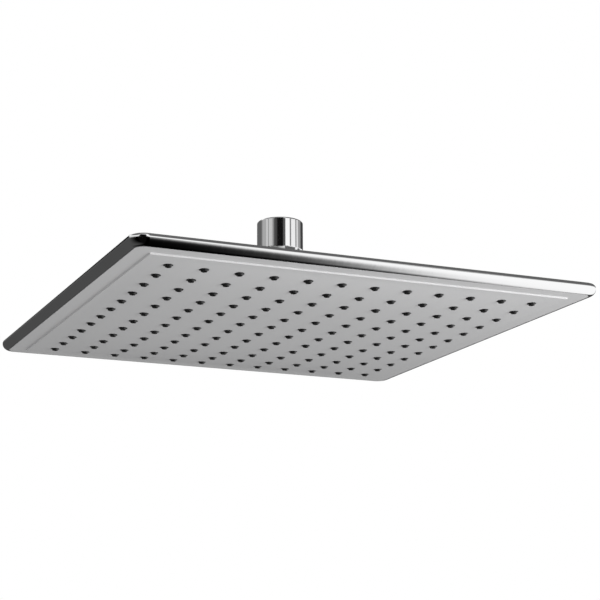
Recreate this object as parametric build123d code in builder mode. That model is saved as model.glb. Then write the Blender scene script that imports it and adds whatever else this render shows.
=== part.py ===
import os
from math import sqrt

from build123d import *

os.makedirs("parts", exist_ok=True)

# Square rain shower head on a ball joint, in millimetres.
# The origin is the middle of the inlet mouth. Z is up, and the head hangs below.

# Head
head_width = 300.0  # over the round rim
corner_radius = 10.0  # of the square, seen from below
rim_height = 7.1
rim_width = 4.7  # seen from below, beside the face plate
rim_top_round = 2.5
rim_flat = 0.2  # what the upper and the lower round leave between them
dome_rise = 18.0  # of the back above the rim
dome_sink = 0.3  # how far the dome's edge lies below the top of the rim
shell_wall = 2.6

# Face plate: a level border, a coved step and a crowned panel
border_width = 10.8
border_corner_radius = 6.0
border_wall = 2.4
step_height = 0.9
cove_radius = 0.4
crown_height = 3.5
panel_wall = 3.0
ledge_width = 6.0  # border that lies on the shell and is welded to it

# Crossed ribs under the dome
rib_wall = 2.0
rib_waterway = 2.5  # left open between ribs and face plate

# Nozzles, each round drawn with a few flats so that the whole field stays light
nozzle_rows = 12
nozzle_margin = 15.9  # middle of the outer nozzles to the panel's edge
nozzle_radius = 2.9
nozzle_reach = 1.3
nozzle_taper = 38.0
nozzle_side_count = 8

# Inlet boss, bush and washer
boss_radius = 19.0
boss_collar = 4.0  # straight top of the boss
boss_rise = 10.8  # of the boss above the middle of the dome
bell_foot_radius = 48.0
bell_foot_sink = 5.5  # of the bell's foot below the middle of the dome
bell_sweep = 45.0  # radius of the bell's hollow flank
bush_radius = 14.0
bush_collar_radius = 15.5
bush_collar_height = 3.0
bush_length = 15.0
washer_margin = 0.8  # of the washer inside the rim of the bush
washer_thickness = 1.6

# Hexagon adapter between ball and head
adapter_across_flats = 24.0
adapter_height = 5.0
adapter_bevel = 1.1
spigot_radius = 10.4  # G 1/2, drawn at its outer radius
spigot_length = 13.0

# Swivel nut
nut_radius = 15.2
nut_top_bevel = 0.8
nut_bottom_bevel = 1.6
thread_radius = 9.32  # G 1/2, drawn at its inner radius
thread_length = 8.0
chamber_height = 8.8  # room for the seal, the ball and the seat ring
lip_height = 2.4

# Ball, with what lies under and over it
ball_radius = 8.0
ball_flat = 2.5  # height of the ball's flat top above its centre
neck_radius = 4.8
neck_gap = 6.0  # between nut and adapter
shank_length = 8.0  # screwed into the adapter
waterway_radius = 3.2
seat_wall = 1.0  # round the ball
seat_depth = 4.0  # lip below the ball's centre
seat_edge = 1.6  # upper edge of the seat ring below the ball's centre
seal_edge = 0.6  # lower edge of the seal above the ball's centre
seal_overlap = 0.3  # of the seal over the ball's widest ring
flow_disc_radius = 4.8
flow_disc_height = 2.0
flow_hole_radius = 2.0
filter_height = 2.4
filter_wall = 2.55
screen_margin = 0.75
screen_thickness = 0.4

# Clearances
edge_clearance = 0.15  # between face plate and shell
fit_clearance = 0.05  # between turned pieces that go into each other
seat_clearance = 0.02  # between the crowned panel and the flat seats of the nozzles


def sphere_level(radius, distance):
    """Height above the centre at which a sphere has this distance from its axis."""
    return sqrt(radius**2 - distance**2)


# Levels, from the inlet mouth down to the face
seal_top = -thread_length - filter_height
lip_top = seal_top - chamber_height
nut_bottom = lip_top - lip_height
ball_level = lip_top + seat_depth
ball_top = ball_level + ball_flat
adapter_top = nut_bottom - neck_gap
adapter_bottom = adapter_top - adapter_height
boss_top = adapter_bottom - washer_thickness
bush_bottom = boss_top - bush_length
dome_top = boss_top - boss_rise
dome_edge = dome_top - dome_rise
rim_bottom = dome_edge + dome_sink - rim_height
plate_back = rim_bottom + border_wall
panel_edge = rim_bottom - step_height
face_bottom = panel_edge - crown_height

# Widths and radii
dome_width = head_width - 2 * rim_height
rim_bottom_round = rim_height - rim_flat - rim_top_round
face_width = head_width - 2 * rim_width
hollow_width = face_width - 2 * ledge_width
panel_width = face_width - 2 * border_width
nozzle_pitch = (panel_width - 2 * nozzle_margin) / (nozzle_rows - 1)
washer_radius = bush_radius - washer_margin
chamber_radius = ball_radius + seat_wall
insert_radius = chamber_radius - fit_clearance
socket_radius = ball_radius + fit_clearance
lip_radius = sphere_level(socket_radius, seat_depth) + fit_clearance
seal_bore = ball_radius - seal_overlap
screen_radius = insert_radius - screen_margin

# Control weights of a square pillow: flat in the middle, or round all over
flat_swell = (0, 2, 0, 2, 0)
round_swell = (0, 2, 0)


def pillow(width, edge_level, rise, swell):
    """Square face that swells by rise from four straight edges at edge_level."""
    last = len(swell) - 1
    rows = []
    for i, u in enumerate(swell):
        row = []
        for j, v in enumerate(swell):
            row.append((width * (i / last - 0.5), width * (j / last - 0.5), edge_level + rise * u * v))
        rows.append(row)
    return Face.make_bezier_surface(rows)


def face_seat(x, y):
    """Plane along the crowned panel's outside at a point, looking out of it."""
    s = 2 * x / panel_width
    t = 2 * y / panel_width
    level = panel_edge - crown_height * (1 - s**4) * (1 - t**4) - seat_clearance
    steepness = 8 * crown_height / panel_width
    x_slope = steepness * s**3 * (1 - t**4)
    y_slope = steepness * t**3 * (1 - s**4)
    return Plane(origin=(x, y, level), x_dir=(1, 0, x_slope), z_dir=(x_slope, y_slope, -1))


# Bell that the boss stands on, as a solid for its outside and, lower, for its hollow
with BuildPart() as bell:
    with BuildSketch(Plane.XZ):
        with BuildLine():
            foot = (bell_foot_radius, dome_top - bell_foot_sink)
            shoulder = (boss_radius, boss_top - boss_collar)
            RadiusArc(foot, shoulder, -bell_sweep)
            Polyline(shoulder, (0, shoulder[1]), (0, foot[1]), foot)
        make_face()
    revolve(axis=Axis.Z)

# Space inside the head, with the ribs and the bush's tube left standing in it
with BuildPart() as hollow:
    with BuildSketch(Plane.XY.offset(plate_back)):
        RectangleRounded(hollow_width, hollow_width, border_corner_radius)
    extrude(amount=rim_height + dome_rise)
    split(bisect_by=pillow(dome_width, dome_edge - shell_wall, dome_rise, round_swell), keep=Keep.BOTTOM)
    with Locations((0, 0, -shell_wall)):
        add(bell.part)
    with BuildSketch(Plane.XY.offset(plate_back + rib_waterway)):
        Rectangle(rib_wall, head_width)
        Rectangle(head_width, rib_wall)
    extrude(amount=rim_height + dome_rise + boss_rise, mode=Mode.SUBTRACT)
    with BuildSketch(Plane.XY.offset(bush_bottom)):
        Circle(boss_radius)
    extrude(amount=bush_length, mode=Mode.SUBTRACT)

# Round rim of the shell, with a wide round below and a closer one above
with BuildPart() as rim:
    with BuildSketch(Plane.XY.offset(rim_bottom)):
        RectangleRounded(head_width, head_width, corner_radius)
    extrude(amount=rim_height)
    fillet(rim.edges().group_by(Axis.Z)[-1], radius=rim_top_round)
    fillet(rim.edges().group_by(Axis.Z)[0], radius=rim_bottom_round)

# Back shell: chromed moulding with a full round rim, a low dome and the inlet boss
with BuildPart() as back_shell:
    with BuildSketch(Plane.XY.offset(rim_bottom)):
        RectangleRounded(dome_width, dome_width, border_corner_radius)
    extrude(amount=rim_height + dome_rise)
    split(bisect_by=pillow(dome_width, dome_edge, dome_rise, round_swell), keep=Keep.BOTTOM)
    add(rim.part)
    add(bell.part)
    with BuildSketch(Plane.XY.offset(boss_top)):
        Circle(boss_radius)
    extrude(amount=-bush_length)
    add(hollow.part, mode=Mode.SUBTRACT)
    with BuildSketch(Plane.XY.offset(rim_bottom)):
        recess_width = face_width + 2 * edge_clearance
        RectangleRounded(recess_width, recess_width, border_corner_radius + edge_clearance)
    extrude(amount=border_wall, mode=Mode.SUBTRACT)
    with BuildSketch(Plane.XY.offset(boss_top)):
        Circle(bush_radius + fit_clearance)
    extrude(amount=plate_back - boss_top, mode=Mode.SUBTRACT)
    with BuildSketch(Plane.XY.offset(bush_bottom)):
        Circle(bush_collar_radius + fit_clearance)
    extrude(amount=bush_collar_height, mode=Mode.SUBTRACT)
back_shell.part.label = "back_shell"
export_step(back_shell.part, "parts/back_shell.step")

# Dish behind the panel, which leaves it a wall of one thickness
with BuildPart() as dish:
    with BuildSketch(Plane.XY.offset(face_bottom)):
        Rectangle(panel_width - 2 * panel_wall, panel_width - 2 * panel_wall)
    extrude(amount=plate_back - face_bottom)
    split(bisect_by=pillow(panel_width, panel_edge + panel_wall, -crown_height, flat_swell), keep=Keep.TOP)

# Face plate: satin grey moulding. Two crossed bars of one coved section leave the mitred panel.
with BuildPart() as face_plate:
    for bar_plane, mode in ((Plane.XZ, Mode.ADD), (Plane.YZ, Mode.INTERSECT)):
        with BuildSketch(bar_plane):
            with BuildLine():
                panel_side = panel_width / 2
                cove_foot = (panel_side + cove_radius, rim_bottom)
                cove_head = (panel_side, rim_bottom - cove_radius)
                Polyline((0, plate_back), (cove_foot[0], plate_back), cove_foot)
                RadiusArc(cove_foot, cove_head, cove_radius)
                Polyline(cove_head, (panel_side, face_bottom), (0, face_bottom))
                mirror(about=Plane.YZ)
            make_face()
        extrude(amount=face_width, both=True, mode=mode)
    split(bisect_by=pillow(panel_width, panel_edge, -crown_height, flat_swell), keep=Keep.TOP)
    with BuildSketch(Plane.XY.offset(rim_bottom)):
        RectangleRounded(face_width, face_width, border_corner_radius)
    extrude(amount=border_wall)
    add(dish.part, mode=Mode.SUBTRACT)
face_plate.part.label = "face_plate"
export_step(face_plate.part, "parts/face_plate.step")

# One nozzle, tapered from its seat down to its tip
with BuildPart() as nozzle:
    with BuildSketch():
        RegularPolygon(nozzle_radius, nozzle_side_count)
    extrude(amount=nozzle_reach, taper=nozzle_taper)

# Nozzles: soft black plastic, moulded onto the plate as a second shot so that each follows its crown
with BuildPart() as nozzles:
    seats = []
    for spot in GridLocations(nozzle_pitch, nozzle_pitch, nozzle_rows, nozzle_rows):
        seats.append(face_seat(spot.position.X, spot.position.Y))
    with Locations(*seats):
        add(nozzle.part)
nozzles.part.label = "nozzles"
export_step(nozzles.part, "parts/nozzles.step")

# Inlet bush: brass insert moulded into the boss, with a collar that it can't be pulled out past
with BuildPart() as inlet_bush:
    with BuildSketch(Plane.XY.offset(bush_bottom)):
        Circle(bush_collar_radius)
    extrude(amount=bush_collar_height)
    with BuildSketch(Plane.XY.offset(bush_bottom)):
        Circle(bush_radius)
    extrude(amount=bush_length)
    with BuildSketch(Plane.XY.offset(bush_bottom)):
        Circle(spigot_radius + fit_clearance)
    extrude(amount=bush_length, mode=Mode.SUBTRACT)
inlet_bush.part.label = "inlet_bush"
export_step(inlet_bush.part, "parts/inlet_bush.step")

# Stem washer: flat rubber ring between the adapter and the boss
with BuildPart() as stem_washer:
    with BuildSketch(Plane.XY.offset(boss_top)):
        Circle(washer_radius)
        Circle(spigot_radius + fit_clearance, mode=Mode.SUBTRACT)
    extrude(amount=washer_thickness)
stem_washer.part.label = "stem_washer"
export_step(stem_washer.part, "parts/stem_washer.step")

# Hexagon adapter: turned brass, screwed onto the ball's shank and, by its spigot, into the head
with BuildPart() as hex_adapter:
    with BuildSketch(Plane.XZ):
        with BuildLine():
            corner = adapter_across_flats / sqrt(3)
            Polyline(
                (0, adapter_bottom),
                (corner, adapter_bottom),
                (corner, adapter_top - adapter_bevel),
                (adapter_across_flats / 2, adapter_top),
                (0, adapter_top),
                close=True,
            )
        make_face()
    revolve(axis=Axis.Z)
    with BuildSketch(Plane.XY.offset(adapter_bottom)):
        RegularPolygon(adapter_across_flats / 2, 6, major_radius=False)
    extrude(amount=adapter_height, mode=Mode.INTERSECT)
    with BuildSketch(Plane.XY.offset(adapter_bottom)):
        Circle(spigot_radius)
    extrude(amount=-spigot_length)
    with BuildSketch(Plane.XY.offset(adapter_top)):
        Circle(neck_radius + fit_clearance)
    extrude(amount=-shank_length, mode=Mode.SUBTRACT)
    with BuildSketch(Plane.XY.offset(adapter_top)):
        Circle(waterway_radius)
    extrude(amount=-adapter_height - spigot_length, mode=Mode.SUBTRACT)
hex_adapter.part.label = "hex_adapter"
export_step(hex_adapter.part, "parts/hex_adapter.step")

# Ball stem: turned brass, a ball with a flat top on a neck that ends in a threaded shank
with BuildPart() as ball_stem:
    with BuildSketch(Plane.XZ):
        with BuildLine():
            flat_radius = sphere_level(ball_radius, ball_flat)
            neck_level = ball_level - sphere_level(ball_radius, neck_radius)
            Polyline(
                (neck_radius, neck_level),
                (neck_radius, adapter_top - shank_length),
                (waterway_radius, adapter_top - shank_length),
                (waterway_radius, ball_top - flow_disc_height),
                (flow_disc_radius + fit_clearance, ball_top - flow_disc_height),
                (flow_disc_radius + fit_clearance, ball_top),
                (flat_radius, ball_top),
            )
            ThreePointArc((flat_radius, ball_top), (ball_radius, ball_level), (neck_radius, neck_level))
        make_face()
    revolve(axis=Axis.Z)
ball_stem.part.label = "ball_stem"
export_step(ball_stem.part, "parts/ball_stem.step")

# Flow disc: plastic restrictor in the top of the ball
with BuildPart() as flow_disc:
    with BuildSketch(Plane.XY.offset(ball_top - flow_disc_height)):
        Circle(flow_disc_radius)
        Circle(flow_hole_radius, mode=Mode.SUBTRACT)
    extrude(amount=flow_disc_height)
flow_disc.part.label = "flow_disc"
export_step(flow_disc.part, "parts/flow_disc.step")

# Seat ring: hard plastic, carries the ball on the nut's lip
with BuildPart() as seat_ring:
    with BuildSketch(Plane.XZ):
        with BuildLine():
            upper = (sphere_level(socket_radius, seat_edge), ball_level - seat_edge)
            lower = (sphere_level(socket_radius, seat_depth), lip_top)
            Polyline(lower, (insert_radius, lip_top), (insert_radius, upper[1]), upper)
            RadiusArc(upper, lower, socket_radius)
        make_face()
    revolve(axis=Axis.Z)
seat_ring.part.label = "seat_ring"
export_step(seat_ring.part, "parts/seat_ring.step")

# Ball seal: moulded rubber ring that presses on the ball from above
with BuildPart() as ball_seal:
    with BuildSketch(Plane.XZ):
        with BuildLine():
            upper = (seal_bore, ball_level + sphere_level(socket_radius, seal_bore))
            lower = (sphere_level(socket_radius, seal_edge), ball_level + seal_edge)
            Polyline(
                lower,
                (insert_radius, lower[1]),
                (insert_radius, seal_top),
                (seal_bore, seal_top),
                upper,
            )
            RadiusArc(upper, lower, socket_radius)
        make_face()
    revolve(axis=Axis.Z)
ball_seal.part.label = "ball_seal"
export_step(ball_seal.part, "parts/ball_seal.step")

# Filter screen: woven steel disc under the washer
with BuildPart() as filter_screen:
    with BuildSketch(Plane.XY.offset(seal_top)):
        Circle(screen_radius)
    extrude(amount=screen_thickness)
filter_screen.part.label = "filter_screen"
export_step(filter_screen.part, "parts/filter_screen.step")

# Filter washer: rubber ring that the pipe presses on, with a recess for the screen
with BuildPart() as filter_washer:
    with BuildSketch(Plane.XY.offset(seal_top)):
        Circle(insert_radius)
        Circle(insert_radius - filter_wall, mode=Mode.SUBTRACT)
    extrude(amount=filter_height)
    with BuildSketch(Plane.XY.offset(seal_top)):
        Circle(screen_radius + fit_clearance)
    extrude(amount=screen_thickness, mode=Mode.SUBTRACT)
filter_washer.part.label = "filter_washer"
export_step(filter_washer.part, "parts/filter_washer.step")

# Swivel nut: chromed brass sleeve, threaded above, with a lip below that holds the ball
with BuildPart() as swivel_nut:
    with BuildSketch(Plane.XZ):
        with BuildLine():
            Polyline(
                (thread_radius, 0),
                (nut_radius - nut_top_bevel, 0),
                (nut_radius, -nut_top_bevel),
                (nut_radius, nut_bottom + nut_bottom_bevel),
                (nut_radius - nut_bottom_bevel, nut_bottom),
                (lip_radius, nut_bottom),
                (lip_radius, lip_top),
                (chamber_radius, lip_top),
                (chamber_radius, -thread_length),
                (thread_radius, -thread_length),
                close=True,
            )
        make_face()
    revolve(axis=Axis.Z)
swivel_nut.part.label = "swivel_nut"
export_step(swivel_nut.part, "parts/swivel_nut.step")
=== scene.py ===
from math import cos, e, floor, pi, radians, sin, sqrt

import bmesh
import bpy
from mathutils import Euler, Matrix, Vector


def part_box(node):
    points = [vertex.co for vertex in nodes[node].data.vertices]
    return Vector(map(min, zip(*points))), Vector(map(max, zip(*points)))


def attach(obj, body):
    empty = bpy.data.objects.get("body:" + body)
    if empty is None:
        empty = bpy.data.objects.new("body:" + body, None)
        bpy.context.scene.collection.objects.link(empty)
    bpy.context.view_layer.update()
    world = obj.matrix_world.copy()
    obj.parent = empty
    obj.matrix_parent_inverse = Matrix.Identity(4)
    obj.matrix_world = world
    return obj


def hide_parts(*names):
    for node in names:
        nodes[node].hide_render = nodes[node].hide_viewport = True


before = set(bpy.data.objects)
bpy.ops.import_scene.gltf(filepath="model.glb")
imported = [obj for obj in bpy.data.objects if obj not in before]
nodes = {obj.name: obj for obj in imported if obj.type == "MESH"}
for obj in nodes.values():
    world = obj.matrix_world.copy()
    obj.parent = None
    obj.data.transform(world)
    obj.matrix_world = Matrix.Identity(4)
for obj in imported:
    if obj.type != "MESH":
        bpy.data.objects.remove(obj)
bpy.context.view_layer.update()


# Back shell: the chromed plastic moulding of the head, with a full round rim, a low dome and the
# boss for the inlet. It is plated after moulding, so it mirrors the room with a faint orange peel.

plating_bright = (0.95, 0.952, 0.955, 1)
plating_filmed = (0.91, 0.912, 0.915, 1)


class Signal:
    """One output of a node tree. Arithmetic on it adds Math nodes to the same tree."""

    def __init__(self, finish, socket):
        self.finish = finish
        self.socket = socket

    def math(self, operation, first, second):
        return self.finish.node("ShaderNodeMath", {"operation": operation}, {0: first, 1: second})

    def __add__(self, other):
        return self.math("ADD", self, other)

    def __radd__(self, other):
        return self.math("ADD", other, self)

    def __sub__(self, other):
        return self.math("SUBTRACT", self, other)

    def __rsub__(self, other):
        return self.math("SUBTRACT", other, self)

    def __mul__(self, other):
        return self.math("MULTIPLY", self, other)

    def __rmul__(self, other):
        return self.math("MULTIPLY", other, self)

    def __truediv__(self, other):
        return self.math("DIVIDE", self, other)

    def __rtruediv__(self, other):
        return self.math("DIVIDE", other, self)

    def __pow__(self, other):
        return self.math("POWER", self, other)

    def __rpow__(self, other):
        return self.math("POWER", other, self)

    def __or__(self, other):
        return self.math("MAXIMUM", self, other)

    def __ror__(self, other):
        return self.math("MAXIMUM", other, self)


class Finish:
    """A node tree that is filled step by step: a material's, or the room's."""

    def __init__(self, tree, shader):
        self.tree = tree
        self.shader = shader

    def node(self, kind, settings=None, inputs=None, output=0):
        """Adds a node with its settings, then its inputs, and gives one of its outputs."""
        made = self.tree.nodes.new(kind)
        for name, value in (settings or {}).items():
            if name == "stops":
                self.set_stops(made.color_ramp.elements, value)
            else:
                setattr(made, name, value)
        for name, value in (inputs or {}).items():
            if isinstance(value, Signal):
                self.tree.links.new(value.socket, made.inputs[name])
            else:
                made.inputs[name].default_value = value
        return Signal(self, made.outputs[output])

    def set_stops(self, elements, stops):
        """Sets a ramp's stops, each a position and a grey level."""
        while len(elements) < len(stops):
            elements.new(1.0)
        for element, (position, level) in zip(elements, stops):
            element.position = position
            element.color = (level, level, level, 1)

    def noise(self, scale, detail=2.0, stretch=(1, 1, 1)):
        """Noise over the piece, with so many grains in a metre, finer along a stretched axis."""
        place = self.node("ShaderNodeTexCoord", output="Object")
        where = self.node("ShaderNodeVectorMath", {"operation": "MULTIPLY"}, {0: place, 1: stretch})
        inputs = {"Vector": where, "Scale": scale, "Detail": detail}
        return self.node("ShaderNodeTexNoise", {}, inputs)

    def ramp(self, value, low, high):
        """0 below low, 1 above high, smooth between."""
        inputs = {"Value": value, "From Min": low, "From Max": high}
        return self.node("ShaderNodeMapRange", {"interpolation_type": "SMOOTHSTEP"}, inputs)

    def blend(self, share, first, second):
        """Colour between two, by the share of the second."""
        return self.node("ShaderNodeMix", {"data_type": "RGBA"}, {0: share, 6: first, 7: second}, 2)

    def bump(self, height, depth):
        return self.node("ShaderNodeBump", {}, {"Height": height, "Distance": depth}, "Normal")

    def feed(self, **signals):
        """Links signals to the shader's sockets of those names."""
        for socket, signal in signals.items():
            self.tree.links.new(signal.socket, self.shader.inputs[socket.replace("_", " ")])


def finish(name, **constants):
    """New material, and its tree, with the fixed values set on the shader's own sockets."""
    material = bpy.data.materials.new(name)
    material.use_nodes = True
    shader = material.node_tree.nodes["Principled BSDF"]
    for socket, value in constants.items():
        shader.inputs[socket.replace("_", " ")].default_value = value
    return material, Finish(material.node_tree, shader)


def dress(node, material):
    """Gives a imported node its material."""
    slots = nodes[node].data.materials
    slots.clear()
    slots.append(material)


def chrome(name, peel_scale, peel_depth):
    """Bright plating, with a thin film of lime left by the water here and there."""
    material, made = finish(name, Metallic=1.0)
    film = made.ramp(made.noise(18.0, 3.0), 0.4, 0.8)
    made.feed(
        Base_Color=made.blend(film, plating_bright, plating_filmed),
        Roughness=0.03 + 0.03 * film,
        Normal=made.bump(made.noise(peel_scale), peel_depth),
    )
    return material


dress("back_shell", chrome("shell_chrome", peel_scale=220.0, peel_depth=0.000008))


# Face plate: the satin grey moulding that closes the head, with a level border, a coved step and a
# crowned panel. It has a fine moulded grain, and is welded into the shell all round.

grain_dark = (0.375, 0.375, 0.378, 1)
grain_pale = (0.425, 0.425, 0.428, 1)
grain_depth = 0.00002
cloud_grey = (0.42, 0.42, 0.424, 1)
cloud_strength = 0.25

face_satin, made = finish("face_satin", IOR=1.45)
grain = made.noise(2400.0, 3.0)
cloud = made.ramp(made.noise(9.0), 0.3, 0.7)
tone = made.blend(grain, grain_dark, grain_pale)
made.feed(
    Base_Color=made.blend(cloud * cloud_strength, tone, cloud_grey),
    Roughness=0.42 + 0.12 * grain,
    Normal=made.bump(grain, grain_depth),
)
dress("face_plate", face_satin)


# Nozzles: soft black plastic, moulded onto the face plate as a second shot. Each has a thin flange
# on the plate and a short tapered stub with the water hole in it, and stands square to the crown.

nozzle_rows = 12
nozzle_turns = 28
nozzle_reach = 0.0013
flange_radius = 0.0029
flange_height = 0.00022
flange_round = 0.0001
tip_radius = 0.0016
hole_radius = 0.0009
hole_floor = 0.0006  # height of the drawn hole's floor over the plate
stub_outline = (
    (0.0, 0.0),
    (flange_radius, 0.0),
    (flange_radius, 0.6 * flange_height),
    (flange_radius - flange_round, flange_height),
    (0.0024, flange_height + 0.00003),  # hollow round from the flange to the stub
    (0.00222, flange_height + 0.00012),
    (0.00212, 0.00045),  # tapered side
    (0.00186, 0.0011),
    (0.00178, 0.00124),  # eased edge of the tip
    (tip_radius, nozzle_reach),
    (hole_radius, nozzle_reach),
    (hole_radius - 0.0001, 0.00122),  # eased mouth of the hole
    (hole_radius - 0.00015, hole_floor),
    (0.0, hole_floor),
)
black_deep = (0.003, 0.003, 0.003, 1)
black_bloomed = (0.012, 0.012, 0.012, 1)


def turned(outline, turns):
    """Round mesh with this outline of radius and height, which starts and ends on the axis."""
    mesh = bmesh.new()
    points = [mesh.verts.new((radius, 0, height)) for radius, height in outline]
    edges = [mesh.edges.new(pair) for pair in zip(points, points[1:])]
    whole = {"axis": (0, 0, 1), "cent": (0, 0, 0), "angle": 2 * pi, "steps": turns}
    bmesh.ops.spin(mesh, geom=points + edges, **whole)
    bmesh.ops.remove_doubles(mesh, verts=mesh.verts, dist=0.000001)
    bmesh.ops.recalc_face_normals(mesh, faces=mesh.faces)
    return mesh


def show(name, mesh, material, body, replaced, crease=35):
    """Makes a piece of a mesh, smooth up to the crease angle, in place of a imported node."""
    data = bpy.data.meshes.new(name)
    mesh.to_mesh(data)
    mesh.free()
    data.shade_smooth()
    data.set_sharp_from_angle(angle=radians(crease))
    data.materials.append(material)
    piece = bpy.data.objects.new(name, data)
    bpy.context.scene.collection.objects.link(piece)
    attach(piece, body)
    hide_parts(replaced)


nozzle_black, made = finish("nozzle_black", IOR=1.5)
bloom = made.noise(900.0, 3.0)
made.feed(
    Base_Color=made.blend(bloom, black_deep, black_bloomed),
    Roughness=0.2 + 0.15 * bloom,
    Normal=made.bump(bloom, 0.00001),
)

one_nozzle = turned(stub_outline, nozzle_turns)
stub = bpy.data.meshes.new("nozzle_stub")
one_nozzle.to_mesh(stub)
one_nozzle.free()
field_low, field_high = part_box("nozzles")
outermost = field_high.x - flange_radius
row_pitch = 2 * outermost / (nozzle_rows - 1)
plate = nodes["face_plate"]
below = 2 * field_low.z
upwards = Vector((0, 0, 1))
field = bmesh.new()
for row in range(nozzle_rows):
    for column in range(nozzle_rows):
        spot = Vector((column * row_pitch - outermost, row * row_pitch - outermost, below))
        _, seat, outwards, _ = plate.ray_cast(spot, upwards)
        first = len(field.verts)
        field.from_mesh(stub)
        field.verts.ensure_lookup_table()
        square = outwards.to_track_quat("Z", "X").to_matrix().to_4x4()
        stand = Matrix.Translation(seat) @ square
        bmesh.ops.transform(field, matrix=stand, verts=field.verts[first:])
show("nozzle_field", field, nozzle_black, "head", "nozzles")


# Inlet bush: a turned brass insert that the boss is moulded round. Its collar keeps it from being
# pulled out, and the adapter's spigot is screwed into it.

brass_bright = (0.62, 0.44, 0.19, 1)
brass_tarnished = (0.45, 0.30, 0.12, 1)


def lathe_lines(made):
    """Fine rings left by the turning tool, along the axis."""
    return made.noise(5000.0, 2.0, (0.02, 0.02, 1.0))


bush_brass, made = finish("bush_brass", Metallic=1.0)
tarnish = made.ramp(made.noise(160.0, 4.0), 0.35, 0.7)
made.feed(
    Base_Color=made.blend(tarnish, brass_bright, brass_tarnished),
    Roughness=0.24 + 0.16 * tarnish,
    Normal=made.bump(lathe_lines(made), 0.000015),
)
dress("inlet_bush", bush_brass)


# Stem washer, filter washer and ball seal: black rubber, dull, with a pale bloom. The washers are
# cut from sheet and the seal is moulded. All three are held by being squeezed.

rubber_dark = (0.010, 0.010, 0.010, 1)
rubber_fleck = (0.024, 0.024, 0.024, 1)
rubber_bloom = (0.07, 0.07, 0.068, 1)
bloom_strength = 0.3
fleck_scales = {"stem_washer": 1500.0, "filter_washer": 1800.0, "ball_seal": 2200.0}

for node, fleck_scale in fleck_scales.items():
    rubber, made = finish(node + "_rubber", IOR=1.5)
    fleck = made.noise(fleck_scale, 4.0)
    bloom = made.ramp(made.noise(240.0), 0.45, 0.8)
    tone = made.blend(fleck, rubber_dark, rubber_fleck)
    made.feed(
        Base_Color=made.blend(bloom * bloom_strength, tone, rubber_bloom),
        Roughness=0.55 + 0.25 * fleck,
        Normal=made.bump(fleck, 0.00003),
    )
    dress(node, rubber)


# Hexagon adapter and ball stem: turned brass, polished and chromed. The adapter's flats are milled,
# and the ball keeps a trace of its turning under the plating.

polish_bright = (0.86, 0.865, 0.87, 1)
polish_dull = (0.80, 0.805, 0.81, 1)

dress("hex_adapter", chrome("adapter_chrome", peel_scale=420.0, peel_depth=0.000006))

ball_chrome, made = finish("ball_chrome", Metallic=1.0)
polish = made.noise(60.0, 3.0)
made.feed(
    Base_Color=made.blend(polish, polish_bright, polish_dull),
    Roughness=0.04 + 0.06 * polish,
    Normal=made.bump(lathe_lines(made), 0.000004),
)
dress("ball_stem", ball_chrome)


# Flow disc and seat ring: hard white plastic. The disc is pressed into the top of the ball and lets
# through a set flow, and the ring carries the ball on the nut's lip.

plastic_shaded = (0.70, 0.70, 0.68, 1)
plastic_white = (0.78, 0.78, 0.765, 1)

for node in ("flow_disc", "seat_ring"):
    white_plastic, made = finish(node + "_white", IOR=1.49)
    flow = made.noise(300.0, 3.0, (1.0, 1.0, 0.3))
    made.feed(
        Base_Color=made.blend(flow, plastic_shaded, plastic_white),
        Roughness=0.32 + 0.14 * flow,
        Normal=made.bump(flow, 0.00002),
    )
    dress(node, white_plastic)


# Filter screen: stainless wire, woven over and under and punched out as a disc. It lies in the
# recess under the filter washer and keeps grit out of the nozzles.

screen_low, screen_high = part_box("filter_screen")
screen_middle = (screen_low.z + screen_high.z) / 2
screen_radius = (screen_high.x - screen_low.x) / 2
wire_radius = (screen_high.z - screen_low.z) / 4
wires = 21
wire_pitch = 2 * screen_radius / wires
steps_per_wire = 6
steel_clean = (0.60, 0.60, 0.60, 1)
steel_scaled = (0.46, 0.455, 0.44, 1)


def wire_path(number, half_turn):
    """Points of one wire across the disc, which passes over every other wire that it crosses."""
    off = (number - (wires - 1) / 2) * wire_pitch
    reach = sqrt(screen_radius**2 - off**2) - wire_radius
    count = 2 * int(reach / wire_pitch * steps_per_wire / 2) + 1
    path = []
    for i in range(count):
        along = reach * (2 * i / (count - 1) - 1)
        lift = wire_radius * cos(pi * (along / wire_pitch + number + half_turn))
        x, y = (along, off) if half_turn else (off, along)
        path.append((x, y, screen_middle + lift))
    return path


weave = bpy.data.curves.new("weave", "CURVE")
weave.dimensions = "3D"
weave.bevel_depth = 0.9 * wire_radius
weave.bevel_resolution = 1
weave.use_fill_caps = True
for half_turn in (0, 1):
    for number in range(wires):
        path = wire_path(number, half_turn)
        if len(path) > 2:
            wire = weave.splines.new("POLY")
            wire.points.add(len(path) - 1)
            for point, place in zip(wire.points, path):
                point.co = (*place, 1)
woven = bpy.data.objects.new("weave", weave)
screen = bmesh.new()
screen.from_mesh(bpy.data.meshes.new_from_object(woven))
bpy.data.objects.remove(woven)

wire_steel, made = finish("wire_steel", Metallic=1.0)
scale = made.noise(700.0, 3.0)
made.feed(
    Base_Color=made.blend(scale, steel_clean, steel_scaled),
    Roughness=0.22 + 0.2 * scale,
    Normal=made.bump(scale, 0.00001),
)
show("screen_weave", screen, wire_steel, "nut", "filter_screen", crease=60)


# Swivel nut: a turned brass sleeve, polished and chromed, with a parallel pipe thread in its upper
# end and a lip below that holds the ball. All its edges are broken by the polishing.

nut_low, nut_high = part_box("swivel_nut")
nut_radius = (nut_high.x - nut_low.x) / 2
nut_turns = 128
top_bevel = 0.0008
bottom_bevel = 0.0016
edge_round = 0.0002
chamber_radius = 0.009
lip_top = -0.0192
lip_radius = 0.00704
thread_crest = 0.00932
thread_depth = 0.00116
thread_pitch = 0.001814
thread_length = 0.008
thread_lead_in = 0.0009
thread_rows = 84


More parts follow.
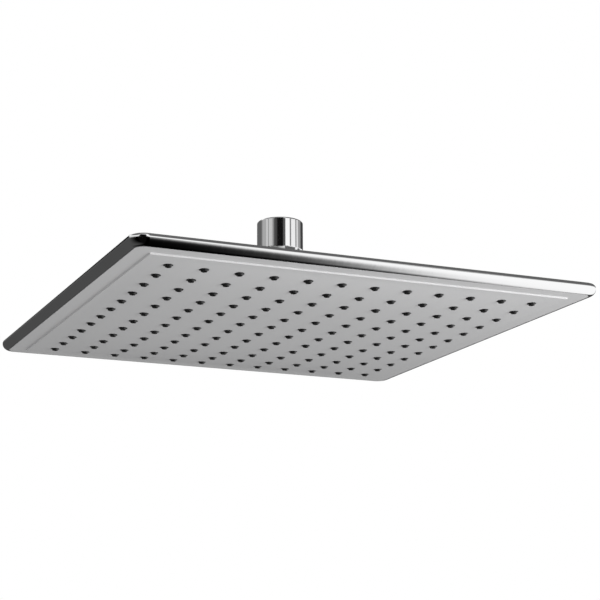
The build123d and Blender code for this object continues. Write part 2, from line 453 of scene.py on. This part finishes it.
def eased(corners, steps=4, support=1.3):
    """Outline with each corner, given as radius, height and rounding, turned into a short arc.

    A support point beside each arc keeps the long faces' shading straight.
    """
    outline = []
    for i in range(1, len(corners) - 1):
        before, corner, after = (Vector(c[:2]) for c in corners[i - 1:i + 2])
        start = (before - corner).normalized() * corners[i][2]
        end = (after - corner).normalized() * corners[i][2]
        outline.append(corner + support * start)
        for k in range(steps + 1):
            t = k / steps
            outline.append(corner + start * (1 - t) ** 2 + end * t**2)
        outline.append(corner + support * end)
    return outline


def thread_radius(turn, depth):
    """Radius of the thread's wall at a share of a turn and a depth below the mouth."""
    phase = depth / thread_pitch - turn
    flank = 0.5 - 0.5 * cos(2 * pi * (phase - floor(phase)))
    run_out = min(1, (thread_length - depth) / thread_pitch)
    mouth = max(0, 1 - depth / thread_lead_in)
    return thread_crest + thread_depth * max(flank * run_out, mouth)


sleeve = eased((
    (thread_crest + thread_depth, 0, 0),
    (nut_radius - top_bevel, 0, edge_round),
    (nut_radius, -top_bevel, edge_round),
    (nut_radius, nut_low.z + bottom_bevel, edge_round),
    (nut_radius - bottom_bevel, nut_low.z, edge_round),
    (lip_radius, nut_low.z, edge_round),
    (lip_radius, lip_top, edge_round),
    (chamber_radius, lip_top, edge_round),
    (chamber_radius, -thread_length, edge_round),
    (thread_crest, -thread_length, 0),
))
rows = []
for i in range(thread_rows, -1, -1):
    depth = thread_length * i / thread_rows
    rows.append([(thread_radius(k / nut_turns, depth), -depth) for k in range(nut_turns)])
for corner in sleeve:
    rows.append([corner] * nut_turns)
nut = bmesh.new()
rings = []
for row in rows:
    ring = []
    for k, (radius, height) in enumerate(row):
        turn = 2 * pi * k / nut_turns
        ring.append(nut.verts.new((radius * cos(turn), radius * sin(turn), height)))
    rings.append(ring)
for ring, following in zip(rings, rings[1:] + rings[:1]):
    for k in range(nut_turns):
        after = (k + 1) % nut_turns
        nut.faces.new((ring[k], ring[after], following[after], following[k]))
bmesh.ops.recalc_face_normals(nut, faces=nut.faces)
nut_chrome = chrome("nut_chrome", peel_scale=300.0, peel_depth=0.000004)
show("threaded_nut", nut, nut_chrome, "nut", "swivel_nut")


# Floor and room: a pale floor far below the hung head, and an even white room. What the chrome
# mirrors is the same room as a studio, with lit walls, dark cloths, and panels with posts between.

floor_level = -1.5
floor_half = 60.0
floor_shaded = (0.82, 0.82, 0.82, 1)
floor_light = (0.86, 0.86, 0.86, 1)
floor_lift = (0.2, 0.2, 0.2, 1)  # added for the camera alone, so the floor looks paler
no_lift = (0, 0, 0, 1)
soft_level = 0.74  # of the even light on everything that isn't a mirror

ground = bpy.data.meshes.new("floor")
corners = []
for x, y in ((-1, -1), (1, -1), (1, 1), (-1, 1)):
    corners.append((x * floor_half, y * floor_half, floor_level))
ground.from_pydata(corners, [], [(0, 1, 2, 3)])
floor_sheet = bpy.data.objects.new("floor", ground)
bpy.context.scene.collection.objects.link(floor_sheet)
floor_sheet.visible_glossy = False
floor_pale, made = finish("floor_pale", Roughness=0.9, Emission_Strength=1.0)
paper = made.noise(40.0, 3.0)
in_view = made.node("ShaderNodeLightPath", output="Is Camera Ray")
made.feed(
    Base_Color=made.blend(paper, floor_shaded, floor_light),
    Emission_Color=made.blend(in_view, no_lift, floor_lift),
)
ground.materials.append(floor_pale)

world = bpy.data.worlds.new("room")
bpy.context.scene.world = world
world.use_nodes = True
room = Finish(world.node_tree, world.node_tree.nodes["Background"])
ray = room.node("ShaderNodeTexCoord", output="Generated")
x, y, z = (room.node("ShaderNodeSeparateXYZ", {}, {0: ray}, axis) for axis in "XYZ")
full_turn = 360
heading = room.node("ShaderNodeMath", {"operation": "ARCTAN2"}, {0: x, 1: y}) / (2 * pi) + 0.5


def zone(value, low, high, soft):
    """1 where the value lies between low and high, with soft edges."""
    past_low = room.ramp(value, low - soft, low + soft)
    return past_low * (1 - room.ramp(value, high - soft, high + soft))


def bearing(degrees):
    """Heading in degrees from +Y towards +X, from -180 to 180, as a share of the turn."""
    return degrees / full_turn + 0.5


# lit walls: the front one ends at an edge that bends with height, and the others start higher up
wall_edge = 0.346 - 0.192 * z - 0.096 * z * z + 0.13 * (y | 0.0) ** 1.6
front_wall = 1 / (1 + e ** (48 * (wall_edge - x)))
upper_walls = room.ramp(z + 0.2 * room.ramp(x, -0.5, 0.1), 0.25, 0.6)
left_glow = 0.066 * room.ramp(y, -0.35, 0.65) * (1 - room.ramp(x, -0.2, 0.1))
light = front_wall | upper_walls | left_glow

# panels and posts at the height that the upright sleeve mirrors: from and to heading, and level
panels = (
    (-180, -174, 0.09), (-171, -146, 0.006), (-138, -130, 0.07), (-114, -100, 0.58),
    (-97, -95, 0.28), (-92, -86, 0.66), (-83, -62, 0.41), (-49, 24, 0.12),
    (50, 75, 0.05), (80, 97, 0.31), (107, 109, 0.9), (113, 118, 0.24),
    (121, 144, 0.9), (147, 151, 0.15), (154, 174, 1.0), (177, 180, 0.09),
)
stops = [(bearing(turn), level) for *ends, level in panels for turn in ends]
panel_row = room.node("ShaderNodeValToRGB", {"stops": stops}, {0: heading})

# what hangs or stands before the walls, each over the one before, with its level
front_ceiling = room.ramp(x, 0.1, 0.2) * room.ramp(y, -0.86, -0.7) * room.ramp(z, 0.27, 0.36)
back_ceiling = room.ramp(y, -0.45, -0.15) * room.ramp(z, 0.6, 0.8)
near_corner = zone(heading, bearing(-178), bearing(-128), 4 / full_turn)
far_left = room.ramp(y, 0.4, 0.75) * zone(x, -2, 0.30, 0.03)
far_right = room.ramp(y, 0.5, 0.7) * zone(x, 0.30, 2, 0.03)
hangings = (
    (front_ceiling | back_ceiling, 0.12 + 0.2 * room.ramp(z, 0.93, 1.0)),
    (near_corner * (1 - room.ramp(z, 0.85, 0.93)), 0.003),
    (far_left * zone(z, -0.55, 0.29, 0.03), 0.068),
    (far_left * zone(z, 0.29, 0.55, 0.03), 0.01),
    (far_right * zone(z, -0.42, 0.19, 0.05), 0.04),
    (zone(z, 0.252, 0.306, 0.012), room.node("ShaderNodeRGBToBW", {}, {0: panel_row})),
)
for where, level in hangings:
    light = light * (1 - where) + level * where

straight = room.node("ShaderNodeLightPath", output="Is Camera Ray")
through = room.node("ShaderNodeLightPath", output="Is Transmission Ray")
mirrored = room.node("ShaderNodeLightPath", output="Is Glossy Ray")
seen = straight | through
room.feed(Strength=seen + (1 - seen) * (mirrored * light + (1 - mirrored) * soft_level))
room.shader.inputs["Color"].default_value = (1, 1, 1, 1)


# Lights: three soft boxes below the head. The key stands to the right in front of it, the fill to
# the left, where it rakes the step of the face, and the front one far off and nearly level with it.

head_middle = (0.0, 0.0, -0.07)
key_aim = (0.05, -0.1, -0.07)
box_width = 0.5


def soft_box(name, place, aim, power):
    lamp = bpy.data.lights.new(name, "AREA")
    lamp.size = box_width
    lamp.energy = power
    box = bpy.data.objects.new(name, lamp)
    bpy.context.scene.collection.objects.link(box)
    box.location = place
    box.rotation_euler = (Vector(aim) - box.location).to_track_quat("-Z", "Y").to_euler()
    box.visible_camera = False
    box.visible_glossy = False


soft_box("key", (0.42, -0.60, -0.38), key_aim, power=5.8)
soft_box("fill", (-0.80, -0.45, -0.25), head_middle, power=2.2)
soft_box("front", (0.45, -1.25, -0.12), head_middle, power=12.0)


# Camera: below the head, in front of it and to the left, looking up at its face. Its place, heading
# and lens were fitted to the rim, the nozzles and the nut at the part's own size.

camera_place = (-0.41139, -0.97151, -0.3165)
heading_angle = radians(23.658)
lift_angle = radians(14.0295)
roll_angle = radians(-0.338)

camera = bpy.data.cameras.new("camera")
camera.lens = 99.295
eye = bpy.data.objects.new("camera", camera)
bpy.context.scene.collection.objects.link(eye)
level_look = Euler((pi / 2 + lift_angle, 0, -heading_angle)).to_matrix()
look = level_look @ Matrix.Rotation(roll_angle, 3, "Z")
eye.matrix_world = Matrix.Translation(camera_place) @ look.to_4x4()
bpy.context.scene.camera = eye
bpy.context.scene.view_settings.view_transform = "Standard"
